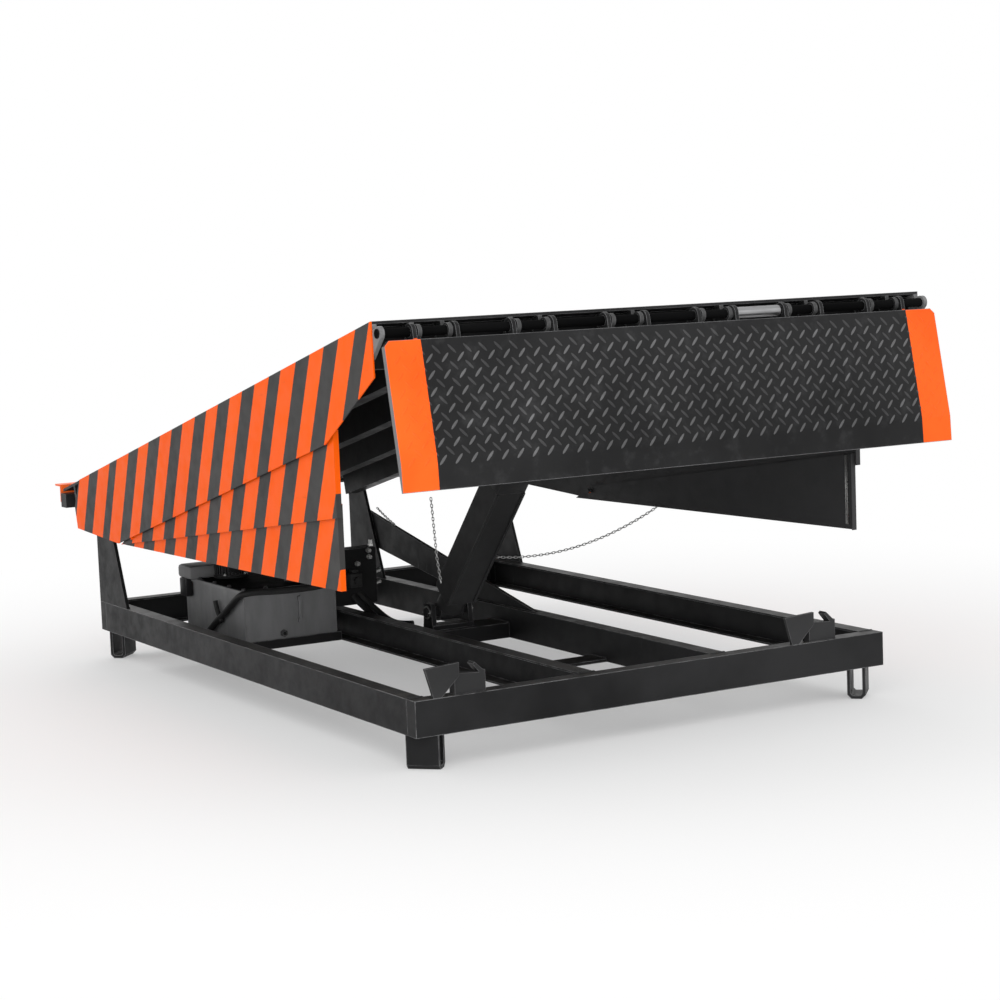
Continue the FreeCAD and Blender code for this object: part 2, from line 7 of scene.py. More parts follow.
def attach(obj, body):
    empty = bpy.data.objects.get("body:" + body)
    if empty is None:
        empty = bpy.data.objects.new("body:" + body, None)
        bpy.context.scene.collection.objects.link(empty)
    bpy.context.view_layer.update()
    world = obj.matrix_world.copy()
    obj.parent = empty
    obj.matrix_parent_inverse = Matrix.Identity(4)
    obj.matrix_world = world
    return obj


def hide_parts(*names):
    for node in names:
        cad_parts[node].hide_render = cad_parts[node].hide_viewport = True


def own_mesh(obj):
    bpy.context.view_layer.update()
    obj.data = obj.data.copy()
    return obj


# A dock leveler: striped toe guards, a diamond-tread lip, a black base frame and a power pack.
# Metres, +Z up, the lip end faces -Y.

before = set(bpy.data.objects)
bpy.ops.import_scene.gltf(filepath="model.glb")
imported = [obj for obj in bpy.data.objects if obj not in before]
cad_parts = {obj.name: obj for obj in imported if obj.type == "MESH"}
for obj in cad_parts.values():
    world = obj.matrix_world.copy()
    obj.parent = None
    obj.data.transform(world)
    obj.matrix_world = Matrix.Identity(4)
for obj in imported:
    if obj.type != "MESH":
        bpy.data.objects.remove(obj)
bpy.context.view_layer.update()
studio = bpy.context.scene

# Frames of the moving parts: the deck at its rear hinge, the lip at its rod, the lift at its foot
DECK_TILT = math.radians(14)
LIP_TILT = math.radians(11.8)
LIFT_LEAN = math.atan2(0.670, 0.741)
DECK = Matrix.Translation((0, 1.173, 0.569)) @ Matrix.Rotation(-DECK_TILT, 4, "X")
LIP = Matrix.Translation((0, -1.200349, 1.168987)) @ Matrix.Rotation(-LIP_TILT, 4, "X")
LIFT = Matrix.Translation((0, 0.128, 0.203)) @ Matrix.Rotation(LIFT_LEAN, 4, "X")
BASE = Matrix.Identity(4)

# Deck and lip, in their own frames
DECK_TOP = 0.045
DECK_UNDER = 0.037
DECK_FRONT = 2.428
NOSE_FACE = -0.036
LIP_FACE = -0.037
LIP_BACK = -0.021
STATION_PITCH = 0.295
STATIONS = [k * STATION_PITCH for k in (-2.5, -1.5, -0.5, 0.5, 1.5, 2.5)]
LIP_EAR_OUT = 0.0577
NOSE_EAR_OUT = 0.045
EAR_HALF = 0.0065

# Base frame
RAIL_TOP = 0.195
RAIL_LOW = 0.095
FRAME_FRONT = -1.117
FRAME_REAR = 1.223
BEAM_DEPTH = 0.049

# Power pack
TANK_LEFT, TANK_RIGHT = -0.590, -0.262
TANK_FRONT, TANK_BACK = 0.427, 0.917
TANK_LOW, TANK_TOP = 0.125, 0.295
PUMP_FRONT, PUMP_RIGHT, PUMP_TOP = 0.427, -0.104, 0.395


# Camera at the photo's viewpoint
def aim_camera():
    """Puts the camera where the photo was taken from, slightly rolled, with the photo's lens."""
    turn, rise, roll = math.radians(-30.04), math.radians(6.28), math.radians(-2.20)
    back = Vector((math.sin(turn) * math.cos(rise), -math.cos(turn) * math.cos(rise),
                   math.sin(rise)))
    right = Vector((math.cos(turn), math.sin(turn), 0))
    up = back.cross(right)
    across = right * math.cos(roll) + up * math.sin(roll)
    upward = -right * math.sin(roll) + up * math.cos(roll)
    spot = Matrix((across, upward, back)).transposed().to_4x4()
    spot.translation = (-3.54097, -6.36258, 1.37149)
    lens = bpy.data.cameras.new("photo_view")
    lens.lens, lens.sensor_width, lens.clip_end = 82.21, 36, 60
    camera = bpy.data.objects.new("photo_view", lens)
    camera.matrix_world = spot
    studio.collection.objects.link(camera)
    studio.camera = camera


aim_camera()


# Finishes
class Finish:
    """A material in the making. Its calls add one node each and give back the node's output."""

    def __init__(self, name):
        self.material = bpy.data.materials.new(name)
        self.material.use_nodes = True
        self.tree = self.material.node_tree
        self.tree.nodes.clear()
        self.surface = self.node("ShaderNodeBsdfPrincipled")
        out = self.node("ShaderNodeOutputMaterial")
        self.tree.links.new(self.surface.outputs[0], out.inputs["Surface"])
        self.place = self.node("ShaderNodeTexCoord").outputs["Object"]
        self.facing = self.node("ShaderNodeTexCoord").outputs["Normal"]
        self.xyz = self.node("ShaderNodeSeparateXYZ", Vector=self.place)
        self.toward = self.node("ShaderNodeSeparateXYZ", Vector=self.facing)

    def node(self, kind, settings=(), **sockets):
        made = self.tree.nodes.new(kind)
        for key, value in dict(settings).items():
            setattr(made, key, value)
        for key, value in sockets.items():
            self.feed(made.inputs[key], value)
        return made

    def feed(self, socket, value):
        if isinstance(value, bpy.types.NodeSocket):
            self.tree.links.new(value, socket)
        else:
            socket.default_value = value

    def sum(self, operation, first, second=0.0, clamp=False):
        made = self.node("ShaderNodeMath", {"operation": operation, "use_clamp": clamp})
        self.feed(made.inputs[0], first)
        self.feed(made.inputs[1], second)
        return made.outputs[0]

    def noise(self, scale, detail=4.0, rough=0.55, stretch=None):
        place = self.place
        if stretch:
            place = self.node("ShaderNodeMapping", Vector=self.place, Scale=stretch).outputs[0]
        return self.node("ShaderNodeTexNoise", Vector=place, Scale=scale, Detail=detail,
                         Roughness=rough).outputs[0]

    def step(self, value, low, high, bottom=0.0, top=1.0):
        made = self.node("ShaderNodeMapRange", {"interpolation_type": "SMOOTHSTEP"}, Value=value)
        for key, number in (("From Min", low), ("From Max", high), ("To Min", bottom),
                            ("To Max", top)):
            made.inputs[key].default_value = number
        return made.outputs[0]

    def blend(self, share, first, second):
        made = self.node("ShaderNodeMix", {"data_type": "RGBA"})
        self.feed(made.inputs["Factor"], share)
        self.feed(made.inputs[6], first)
        self.feed(made.inputs[7], second)
        return made.outputs[2]

    def worn_and_highlit_edges(self, radius, low, high):
        """Bright where the surface turns sharply, as on a plate's corners: rubbed edges, on black
        paint partly painted edge highlights.
        """
        soft = self.node("ShaderNodeBevel", {"samples": 6}, Radius=radius)
        flat = self.node("ShaderNodeNewGeometry")
        dot = self.node("ShaderNodeVectorMath", {"operation": "DOT_PRODUCT"})
        self.feed(dot.inputs[0], soft.outputs[0])
        self.feed(dot.inputs[1], flat.outputs["Normal"])
        turn = self.sum("SUBTRACT", 1.0, dot.outputs["Value"])
        return self.step(turn, low, high)

    def finish(self, colour, rough, metal=0.0, bump=None, depth=0.0006, strength=0.3,
               specular=0.5, density=1.5):
        """Sets the surface. Density is the optical density of the coat."""
        self.feed(self.surface.inputs["Base Color"], colour)
        self.feed(self.surface.inputs["Roughness"], rough)
        self.feed(self.surface.inputs["Metallic"], metal)
        self.surface.inputs["Specular IOR Level"].default_value = specular
        self.surface.inputs["IOR"].default_value = density
        if bump is not None:
            made = self.node("ShaderNodeBump", Height=bump, Distance=depth, Strength=strength)
            self.tree.links.new(made.outputs[0], self.surface.inputs["Normal"])
        return self.material


def rgb(r, g, b):
    return (r, g, b, 1.0)


BARE = rgb(0.23, 0.23, 0.235)
DUST = rgb(0.105, 0.1, 0.094)
PAINT_DENSITY = 1.22


def black_paint(name, dark, light, wear=0.6, dust=0.35, rough=0.42, specular=0.4, edge=0.0035):
    """Satin black paint: cloudy, with an orange-peel skin, rubbed and painted-highlight edges, dust
    on top.
    """
    f = Finish(name)
    clouds, grime, skin = f.noise(2.3), f.noise(17, 6, 0.62), f.noise(420, 2)
    scuffs = f.noise(7, 8, 0.7, (1.0, 9.0, 1.0))
    colour = f.blend(f.step(clouds, 0.3, 0.7), dark, light)
    lying = f.step(f.toward.outputs["Z"], 0.55, 0.98)
    dusty = f.sum("MULTIPLY", lying, f.step(grime, 0.35, 0.75, 0.15 * dust, dust))
    colour = f.blend(dusty, colour, DUST)
    # Lighter edges: rubbed paint, and painted highlight along the edges.
    rubbed = f.sum("MULTIPLY", f.worn_and_highlit_edges(edge, 0.02, 0.16),
                   f.step(grime, 0.36, 0.6, 0.15, wear))
    scratch = f.sum("MULTIPLY", f.step(scuffs, 0.66, 0.74), 0.30 * wear)
    worn = f.sum("MAXIMUM", rubbed, scratch)
    colour = f.blend(worn, colour, BARE)
    shine = f.step(grime, 0.25, 0.8, rough - 0.07, rough + 0.16)
    return f.finish(colour, shine, bump=f.sum("ADD", skin, f.sum("MULTIPLY", grime, 0.8)),
                    depth=0.0004, strength=0.25, specular=specular, density=PAINT_DENSITY)


# Edges of the orange bands on the toe guards, measured in the photo, rear end last
STRIPE_SLANT = 0.408
STRIPE_TAIL = 0.08
STRIPE_EDGES = (-0.9000, -0.6800, -0.6056, -0.5165, -0.4375, -0.3540, -0.2756, -0.1858, -0.1129,
                -0.0290, 0.0526, 0.1386, 0.2131, 0.2957, 0.3780, 0.4684, 0.5430, 0.6353, 0.7222,
                0.8089, 0.8843, 0.9842, 1.0519, 1.1493, 1.2291, 1.3135)


def striped_paint():
    """Orange bands slanting over a dark grey guard. Its inner face and bores stay dark."""
    f = Finish("guard_stripes")
    grime, skin, clouds = f.noise(21, 6, 0.6), f.noise(380, 2), f.noise(1.7)
    ragged = f.sum("MULTIPLY", f.sum("SUBTRACT", f.noise(60, 3), 0.5), 0.004)
    along = f.sum("ADD", f.xyz.outputs["Y"],
                  f.sum("MULTIPLY", f.xyz.outputs["Z"], STRIPE_SLANT))
    low, high = STRIPE_EDGES[0], STRIPE_EDGES[-1] + STRIPE_TAIL
    share = f.sum("DIVIDE", f.sum("SUBTRACT", f.sum("ADD", along, ragged), low), high - low)
    ramp = f.node("ShaderNodeValToRGB", Fac=share)
    band = ramp.color_ramp
    band.interpolation = "CONSTANT"
    band.elements[0].position, band.elements[0].color = 0.0, rgb(1, 1, 1)
    band.elements[1].position = (STRIPE_EDGES[1] - low) / (high - low)
    band.elements[1].color = rgb(0, 0, 0)
    for number, edge in enumerate(STRIPE_EDGES[2:]):
        stop = band.elements.new((edge - low) / (high - low))
        stop.color = rgb(1, 1, 1) if number % 2 == 0 else rgb(0, 0, 0)
    outward = f.sum("MULTIPLY", f.xyz.outputs["X"], f.toward.outputs["X"])
    outer = f.step(outward, -0.12, -0.08)
    folded = f.sum("MULTIPLY", f.step(f.toward.outputs["Y"], -0.8, -0.7, 1.0, 0.0),
                   f.step(f.xyz.outputs["X"], 0.0, 0.1))
    outer = f.sum("SUBTRACT", outer, folded, True)
    bored = f.step(f.toward.outputs["Z"], 0.2, 0.4)
    outer = f.sum("SUBTRACT", outer, bored, True)
    orange = f.blend(f.step(clouds, 0.3, 0.7), rgb(0.98, 0.106, 0.0015), rgb(1.0, 0.122, 0.0025))
    grey = f.blend(f.step(clouds, 0.3, 0.7), rgb(0.036, 0.036, 0.036), rgb(0.052, 0.051, 0.05))
    colour = f.blend(ramp.outputs[0], grey, orange)
    colour = f.blend(outer, rgb(0.058, 0.058, 0.0595), colour)
    smear = f.sum("MULTIPLY", f.step(f.noise(5, 8, 0.7, (1, 1, 5)), 0.62, 0.78), 0.22)
    colour = f.blend(smear, colour, rgb(0.08, 0.045, 0.03))
    rubbed = f.sum("MULTIPLY", f.worn_and_highlit_edges(0.002, 0.03, 0.2), f.step(grime, 0.5, 0.68, 0.05, 0.5))
    colour = f.blend(rubbed, colour, rgb(0.10, 0.095, 0.09))
    shine = f.step(grime, 0.3, 0.8, 0.36, 0.58)
    return f.finish(colour, shine, bump=f.sum("ADD", skin, f.sum("MULTIPLY", clouds, 14.0)),
                    depth=0.0006, strength=0.22, specular=0.4, density=1.2)


# The lip's orange bands run from this far off its middle to its ends, up to this height
LIP_BAND = 0.795
LIP_BAND_TOP = 1.152


def lip_paint(name, dark, light, lugs=False, rub_and_glint=0.12):
    """Dark satin lip with an orange band at each end and bare steel rubbed through at its rim."""
    f = Finish(name)
    grime, skin, clouds = f.noise(19, 6, 0.62), f.noise(420, 2), f.noise(3.1)
    from_middle = f.sum("ABSOLUTE", f.xyz.outputs["X"])
    band = f.step(f.sum("ADD", from_middle, f.sum("MULTIPLY", f.noise(90, 2), 0.0016)),
                  LIP_BAND, LIP_BAND + 0.0012)
    front = f.step(f.sum("MULTIPLY", f.toward.outputs["Y"], -1.0), 0.2, 0.3)
    if lugs:
        front = f.step(f.toward.outputs["Y"], 0.4, 0.6, 1.0, 0.0)
    orange = f.blend(f.step(clouds, 0.35, 0.65), rgb(0.95, 0.105, 0.010), rgb(1.0, 0.135, 0.016))
    colour = f.blend(f.step(clouds, 0.3, 0.7), dark, light)
    below = f.step(f.xyz.outputs["Z"], LIP_BAND_TOP, LIP_BAND_TOP + 0.002, 1.0, 0.0)
    band = f.sum("MULTIPLY", band, below)
    colour = f.blend(f.sum("MULTIPLY", band, front), colour, orange)
    # Bare patches: rubbed paint on the lip face, painted glints on the tread lugs.
    rub_and_glint_spots = f.sum("MULTIPLY", f.step(grime, 0.5, 0.72), rub_and_glint)
    colour = f.blend(f.sum("MULTIPLY", rub_and_glint_spots, f.sum("SUBTRACT", 1.0, band)), colour, BARE)
    ends = f.step(f.sum("ABSOLUTE", f.toward.outputs["X"]), 0.75, 0.9, 0.0, 0.0 if lugs else 0.9)
    ends = f.sum("MULTIPLY", ends, f.step(from_middle, 0.895, 0.898))
    rim = f.sum("MULTIPLY", f.worn_and_highlit_edges(0.003, 0.015, 0.1), f.step(grime, 0.3, 0.55, 0.45, 0.95))
    rim = f.sum("MULTIPLY", rim, 0.0 if lugs else 1.0)
    colour = f.blend(f.sum("MAXIMUM", ends, rim), colour, rgb(0.20, 0.20, 0.205))
    shine = f.step(grime, 0.25, 0.8, 0.3, 0.52)
    return f.finish(colour, shine, bump=f.sum("ADD", skin, grime), depth=0.0004, strength=0.25,
                    specular=0.5 if lugs else 0.4, density=1.2)


def bare_steel(name, colour=(0.42, 0.42, 0.43), rough=0.32, grain=(1.0, 60.0, 60.0), rust=0.1):
    """Machined or rubbed steel with drawn grain and a few dull spots."""
    f = Finish(name)
    spots, grain_lines = f.noise(34, 6, 0.65), f.noise(9, 3, 0.5, grain)
    colour_low = rgb(*(0.72 * c for c in colour))
    tone = f.blend(f.step(grain_lines, 0.3, 0.7), colour_low, rgb(*colour))
    tone = f.blend(f.sum("MULTIPLY", f.step(spots, 0.6, 0.75), rust), tone, rgb(0.10, 0.05, 0.03))
    shine = f.step(spots, 0.3, 0.75, rough - 0.06, rough + 0.16)
    return f.finish(tone, shine, metal=0.9, bump=grain_lines, depth=0.0002, strength=0.3)


def coating():
    """Dull black plastic coating with a fine moulded grain."""
    f = Finish("pipe_coating")
    grain, clouds = f.noise(700, 3), f.noise(9)
    colour = f.blend(f.step(clouds, 0.3, 0.7), rgb(0.016, 0.016, 0.016),
                     rgb(0.0272, 0.0272, 0.0272))
    return f.finish(colour, f.step(clouds, 0.3, 0.7, 0.5, 0.68), bump=grain, depth=0.0003,
                    strength=0.3, specular=0.25)


def tank_paint():
    """Grey-black tank enamel, streaked down its sides, with painted shade darkening the faces
    turned up.
    """
    f = Finish("tank_enamel")
    streaks, grime, skin = f.noise(6, 6, 0.6, (3.0, 3.0, 0.7)), f.noise(14, 6, 0.6), f.noise(400, 2)
    colour = f.blend(f.step(streaks, 0.35, 0.7), rgb(0.178, 0.179, 0.182), rgb(0.222, 0.223, 0.227))
    # Painted shade: faces turned up, under the deck, go near black.
    colour = f.blend(f.step(f.toward.outputs["Z"], 0.6, 0.9, 0.0, 0.85), colour,
                     rgb(0.02, 0.02, 0.021))
    rubbed = f.sum("MULTIPLY", f.worn_and_highlit_edges(0.003, 0.02, 0.16), f.step(grime, 0.4, 0.6, 0.1, 0.6))
    colour = f.blend(rubbed, colour, BARE)
    return f.finish(colour, f.step(grime, 0.3, 0.75, 0.3, 0.55), bump=f.sum("ADD", skin, grime),
                    depth=0.0005, strength=0.25, specular=0.35)


def curb_paint():
    """Orange curb plate, scuffed through where pallets roll over it."""
    f = Finish("curb_orange")
    grime, skin, clouds = f.noise(16, 7, 0.65), f.noise(380, 2), f.noise(2.2)
    drag = f.noise(8, 7, 0.7, (0.6, 10.0, 1.0))
    colour = f.blend(f.step(clouds, 0.3, 0.7), rgb(0.93, 0.115, 0.01), rgb(1.0, 0.16, 0.02))
    lying = f.step(f.toward.outputs["Z"], 0.6, 0.95)
    scuffed = f.sum("MULTIPLY", lying, f.step(drag, 0.56, 0.7, 0.0, 0.55))
    colour = f.blend(scuffed, colour, rgb(0.09, 0.07, 0.06))
    rubbed = f.sum("MULTIPLY", f.worn_and_highlit_edges(0.003, 0.02, 0.16), f.step(grime, 0.4, 0.6, 0.15, 0.8))
    colour = f.blend(rubbed, colour, BARE)
    return f.finish(colour, f.step(grime, 0.3, 0.75, 0.36, 0.58), bump=f.sum("ADD", skin, grime),
                    depth=0.0005, strength=0.25, specular=0.3)


def hinge_paint():
    """Black nose bar whose ears carry painted highlights along their rims, and whose end ears are
    rubbed bright.
    """
    f = Finish("nose_black")
    grime, skin, clouds = f.noise(26, 6, 0.62), f.noise(420, 2), f.noise(2.7)
    colour = f.blend(f.step(clouds, 0.3, 0.7), rgb(0.008, 0.008, 0.0083), rgb(0.016, 0.016, 0.0165))
    ahead = f.sum("ADD", f.sum("MULTIPLY", f.xyz.outputs["Y"], math.cos(DECK_TILT)),
                  f.sum("MULTIPLY", f.xyz.outputs["Z"], -math.sin(DECK_TILT)))
    line = -DECK_FRONT - NOSE_FACE - DECK.inverted().translation.y
    ears = f.step(ahead, line - 0.003, line - 0.001, 1.0, 0.0)
    # Painted highlight along the ear rims; the end ears are rubbed bare.
    rim_highlights = f.step(f.sum("ABSOLUTE", f.toward.outputs["X"]), 0.4, 0.6, 0.32, 0.05)
    ends = f.step(f.sum("ABSOLUTE", f.xyz.outputs["X"]), 0.878, 0.882, 0.0, 1.0)
    bright = f.sum("MULTIPLY", ears, f.sum("MAXIMUM", rim_highlights, ends))
    colour = f.blend(f.sum("MULTIPLY", bright, f.step(grime, 0.25, 0.55, 0.45, 1.0)), colour,
                     rgb(0.21, 0.21, 0.212))
    rubbed = f.sum("MULTIPLY", f.worn_and_highlit_edges(0.003, 0.02, 0.16), f.step(grime, 0.36, 0.6, 0.2, 0.9))
    colour = f.blend(rubbed, colour, BARE)
    shine = f.step(grime, 0.25, 0.8, 0.38, 0.6)
    return f.finish(colour, shine, bump=f.sum("ADD", skin, grime), depth=0.0004, strength=0.25,
                    specular=0.4, density=1.2)


frame_black = black_paint("frame_black", rgb(0.011, 0.011, 0.0115), rgb(0.027, 0.027, 0.028),
                          wear=1.0, dust=0.75, edge=0.005)
# A darker copy of the frame's black, as painted shade on the rear posts and the pump block.
post_black_painted_shade = black_paint("post_black_painted_shade", rgb(0.010, 0.010, 0.0105), rgb(0.017, 0.017, 0.0175),
                         wear=0.6)
deck_black = black_paint("deck_black", rgb(0.015, 0.015, 0.0155), rgb(0.026, 0.026, 0.027),
                         wear=0.5, dust=0.3)
# A lighter copy of the frame's black, as painted light on the lip keepers.
keeper_black_painted_light = black_paint("keeper_black_painted_light", rgb(0.026, 0.026, 0.0265), rgb(0.040, 0.040, 0.041),
                           wear=0.6)
beam_black = black_paint("beam_black", rgb(0.015, 0.015, 0.0155), rgb(0.026, 0.026, 0.0265),
                         wear=0.4, dust=0.3)
nose_black = hinge_paint()
tail_black = black_paint("tail_black", rgb(0.012, 0.012, 0.0125), rgb(0.024, 0.024, 0.025),
                         wear=1.0, dust=0.15, edge=0.0045)
# Black paint darkened far below its own colour as painted shade: the lip rod in its slot, and the
# tank's top sheet.
painted_shade_black = black_paint("painted_shade_black", rgb(0.003, 0.003, 0.0031), rgb(0.006, 0.006, 0.0062),
                        wear=0.1, dust=0.0, rough=0.8, specular=0.1)
# A lighter copy of the frame's black, as painted light on the lift cylinder's housing.
strut_black_painted_light = black_paint("strut_black_painted_light", rgb(0.029, 0.029, 0.0295), rgb(0.042, 0.042, 0.043),
                          wear=0.4, dust=0.1)
guard_stripes = striped_paint()
lip_face = lip_paint("lip_face", rgb(0.013, 0.013, 0.0134), rgb(0.021, 0.021, 0.0216), rub_and_glint=0.06)
# Two lighter copies of the tread skin as painted highlight: the rising lugs bright, the falling
# lugs dimmer.
rising_lug_highlight = lip_paint("lip_tread_painted_highlight", rgb(0.088, 0.088, 0.089), rgb(0.135, 0.135, 0.137),
                            lugs=True, rub_and_glint=0.5)
falling_lug_dim_highlight = lip_paint("lip_tread_painted_dim_highlight", rgb(0.038, 0.038, 0.039), rgb(0.062, 0.062, 0.063),
                             lugs=True, rub_and_glint=0.15)
deck_lug_skin = black_paint("deck_tread_skin", rgb(0.028, 0.028, 0.029), rgb(0.05, 0.05, 0.052),
                            wear=0.5, dust=0.2, rough=0.34, specular=0.35)
pin_steel = bare_steel("pin_steel", (0.33, 0.33, 0.335), 0.36, rust=0.35)
chrome = bare_steel("chrome_rod_steel", (0.72, 0.73, 0.75), 0.12, (60.0, 60.0, 1.0), 0.02)
zinc = bare_steel("zinc_fittings", (0.50, 0.50, 0.49), 0.3, (30.0, 30.0, 30.0), 0.15)
chain_steel = bare_steel("chain_zinc", (0.62, 0.62, 0.615), 0.4, (30.0, 30.0, 30.0), 0.12)
weld_metal = black_paint("painted_weld", rgb(0.014, 0.014, 0.0145), rgb(0.03, 0.03, 0.031),
                         wear=0.3, dust=0.1, rough=0.34, specular=0.35)
tank_enamel = tank_paint()
motor_enamel = black_paint("motor_enamel", rgb(0.018, 0.018, 0.0185), rgb(0.032, 0.032, 0.033),
                           wear=0.5, dust=0.35, rough=0.4, specular=0.4)
box_enamel = black_paint("box_enamel", rgb(0.17, 0.17, 0.172), rgb(0.24, 0.24, 0.243),
                         wear=0.4, dust=0.3, rough=0.45, specular=0.5)
curb_orange = curb_paint()
pipe_black = coating()

# The finish of each CAD node, by how its name starts. All others are frame_black.
NODE_FINISH = {
    "guard_": guard_stripes, "lip_plate": lip_face, "lip_rod": painted_shade_black,
    "hinge_rod": pin_steel, "deck_beam": beam_black, "keeper": keeper_black_painted_light,
    "rear_post": post_black_painted_shade, "deck_": deck_black, "nose_bar": nose_black,
    "tail_bar": tail_black, "head_bracket": deck_black, "lift_rod": chrome,
    "lift_barrel": strut_black_painted_light, "pack_tank": tank_enamel, "pack_motor": motor_enamel,
    "pack_pump": post_black_painted_shade, "curb_plate": curb_orange,
}
for node_name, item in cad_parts.items():
    paint = next((p for start, p in NODE_FINISH.items() if node_name.startswith(start)),
                 frame_black)
    item.data.materials.clear()
    item.data.materials.append(paint)


# Making pieces
SHARP_FROM = math.radians(38)
WASHER_HIGH = 0.0018


def piece(name, mesh, paint, body, smooth=True, place=BASE, turned=True):
    """Turns a finished bmesh into a named piece that rides on a body."""
    if place is not BASE:
        bmesh.ops.transform(mesh, matrix=place, verts=mesh.verts)
    if turned:
        bmesh.ops.recalc_face_normals(mesh, faces=mesh.faces)
    data = bpy.data.meshes.new(name)
    mesh.to_mesh(data)
    mesh.free()
    data.materials.append(paint)
    for face in data.polygons:
        face.use_smooth = smooth
    made = bpy.data.objects.new(name, data)
    studio.collection.objects.link(made)
    if smooth:
        data.set_sharp_from_angle(angle=SHARP_FROM)
    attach(made, body)
    return made


def stand(x, y, z, axis="Z"):
    """A place whose own Z points along the given axis."""
    turn = {"Z": BASE, "X": Matrix.Rotation(math.pi / 2, 4, "Y"),
            "Y": Matrix.Rotation(-math.pi / 2, 4, "X"), "-Y": Matrix.Rotation(math.pi / 2, 4, "X")}
    return Matrix.Translation((x, y, z)) @ turn[axis]


def drum(mesh, place, radius, high, top=None, segments=28):
    """A round boss from the place's origin along its Z, tapered when top is given."""
    shift = place @ Matrix.Translation((0, 0, high / 2))
    bmesh.ops.create_cone(mesh, cap_ends=True, segments=segments, radius1=radius,
                          radius2=radius if top is None else top, depth=high, matrix=shift)


def edges_at(corners):
    """The edges at these corners, each of them once."""
    return list(dict.fromkeys(edge for corner in corners for edge in corner.link_edges))


def bar(mesh, low, high, place=BASE, round_off=0.0):
    """A rectangular bar between two corners, with rounded edges when asked."""
    size = [b - a for a, b in zip(low, high)]
    middle = [(a + b) / 2 for a, b in zip(low, high)]
    made = bmesh.ops.create_cube(mesh, size=1.0, matrix=place @ Matrix.Translation(middle)
                                 @ Matrix.Diagonal((*size, 1.0)))["verts"]
    if round_off:
        bmesh.ops.bevel(mesh, geom=edges_at(made), offset=round_off, offset_type="OFFSET",
                        affect="EDGES", segments=2, profile=0.5, material=-1,
                        clamp_overlap=True)


def weld(mesh, start, end, size=0.005, place=BASE):
    """A scalloped bead of weld metal along one straight joint."""
    start, end = Vector(start), Vector(end)
    run = end - start
    count = max(2, round(run.length / (size * 0.85)))
    lie = run.to_track_quat("Z", "Y").to_matrix().to_4x4()
    drop = bmesh.new()
    bmesh.ops.create_icosphere(drop, subdivisions=1, radius=size,
                               matrix=place @ Matrix.Translation(start) @ lie
                               @ Matrix.Diagonal((1.0, 1.0, 0.8, 1.0)))
    pattern = bpy.data.meshes.new("weld_drop")
    drop.to_mesh(pattern)
    drop.free()
    onward = Matrix.Translation(place.to_3x3() @ (run / count))
    for _ in range(count + 1):
        mesh.from_mesh(pattern)
        pattern.transform(onward)
    bpy.data.meshes.remove(pattern)


def hex_bolt(mesh, place, across=0.016, high=0.008):
    """A washer and a hexagon head with its corners turned off."""
    drum(mesh, place, across * 0.78, WASHER_HIGH, segments=24)
    drum(mesh, place @ Matrix.Translation((0, 0, WASHER_HIGH)), across * 0.577, high * 0.8,
         segments=6)
    drum(mesh, place @ Matrix.Translation((0, 0, WASHER_HIGH + high * 0.8)), across * 0.56,
         high * 0.2, across * 0.45, segments=18)


def pipe(name, points, radius, paint, body):
    """A bent steel pipe on one smooth line."""
    line = bpy.data.curves.new(name, "CURVE")
    line.dimensions = "3D"
    spline = line.splines.new("NURBS")
    spline.points.add(len(points) - 1)
    for at, spot in zip(spline.points, points):
        at.co = (*spot, 1.0)
    spline.order_u = 3
    spline.use_endpoint_u = True
    line.resolution_u, line.bevel_depth, line.bevel_resolution = 8, radius, 3
    line.use_fill_caps = True
    holder = bpy.data.objects.new(name + "_line", line)
    studio.collection.objects.link(holder)
    data = bpy.data.meshes.new_from_object(holder)
    bpy.data.objects.remove(holder)
    mesh = bmesh.new()
    mesh.from_mesh(data)
    bmesh.ops.remove_doubles(mesh, verts=mesh.verts, dist=1e-6)
    bpy.data.meshes.remove(data)
    piece(name, mesh, paint, body)


# Diamond tread
TREAD_ACROSS, TREAD_PITCH = 0.0457, 0.0435
LUG_LENGTH, LUG_WIDTH, LUG_HIGH = 0.036, 0.0084, 0.0020
LUG_SINK = 0.0003
LUG_LEAN = math.radians(47)


def lug_set(name, plane, field, lean, shift, paint, body):
    """One of the two crossing sets of raised lens-shaped lugs over a plate."""
    left, right, low, high = field
    gaps = int((right - left) / TREAD_ACROSS)
    side = (right - left - gaps * TREAD_ACROSS) / 2
    columns = gaps - 1 if shift else gaps
    rows = int((high - low) / TREAD_PITCH - shift)
    size = Matrix.Diagonal((LUG_LENGTH, LUG_WIDTH, LUG_HIGH, 1.0))
    row = bmesh.new()
    for column in range(columns + 1):
        spot = (Matrix.Translation((left + side + (column + shift) * TREAD_ACROSS,
                                    low + shift * TREAD_PITCH, LUG_HIGH / 2 - LUG_SINK))
                @ Matrix.Rotation(lean, 4, "Z") @ size)
        bmesh.ops.create_cone(row, cap_ends=True, segments=10, radius1=0.5, radius2=0.2,
                              depth=1.0, matrix=spot)
    bmesh.ops.transform(row, matrix=plane, verts=row.verts)
    pattern = bpy.data.meshes.new(name + "_row")
    row.to_mesh(pattern)
    mesh = bmesh.new()
    climb = plane.to_3x3() @ Vector((0, TREAD_PITCH, 0))
    for _ in range(rows + 1):
        mesh.from_mesh(pattern)
        pattern.transform(Matrix.Translation(climb))
    row.free()
    bpy.data.meshes.remove(pattern)
    piece(name, mesh, paint, body, smooth=False, turned=False)


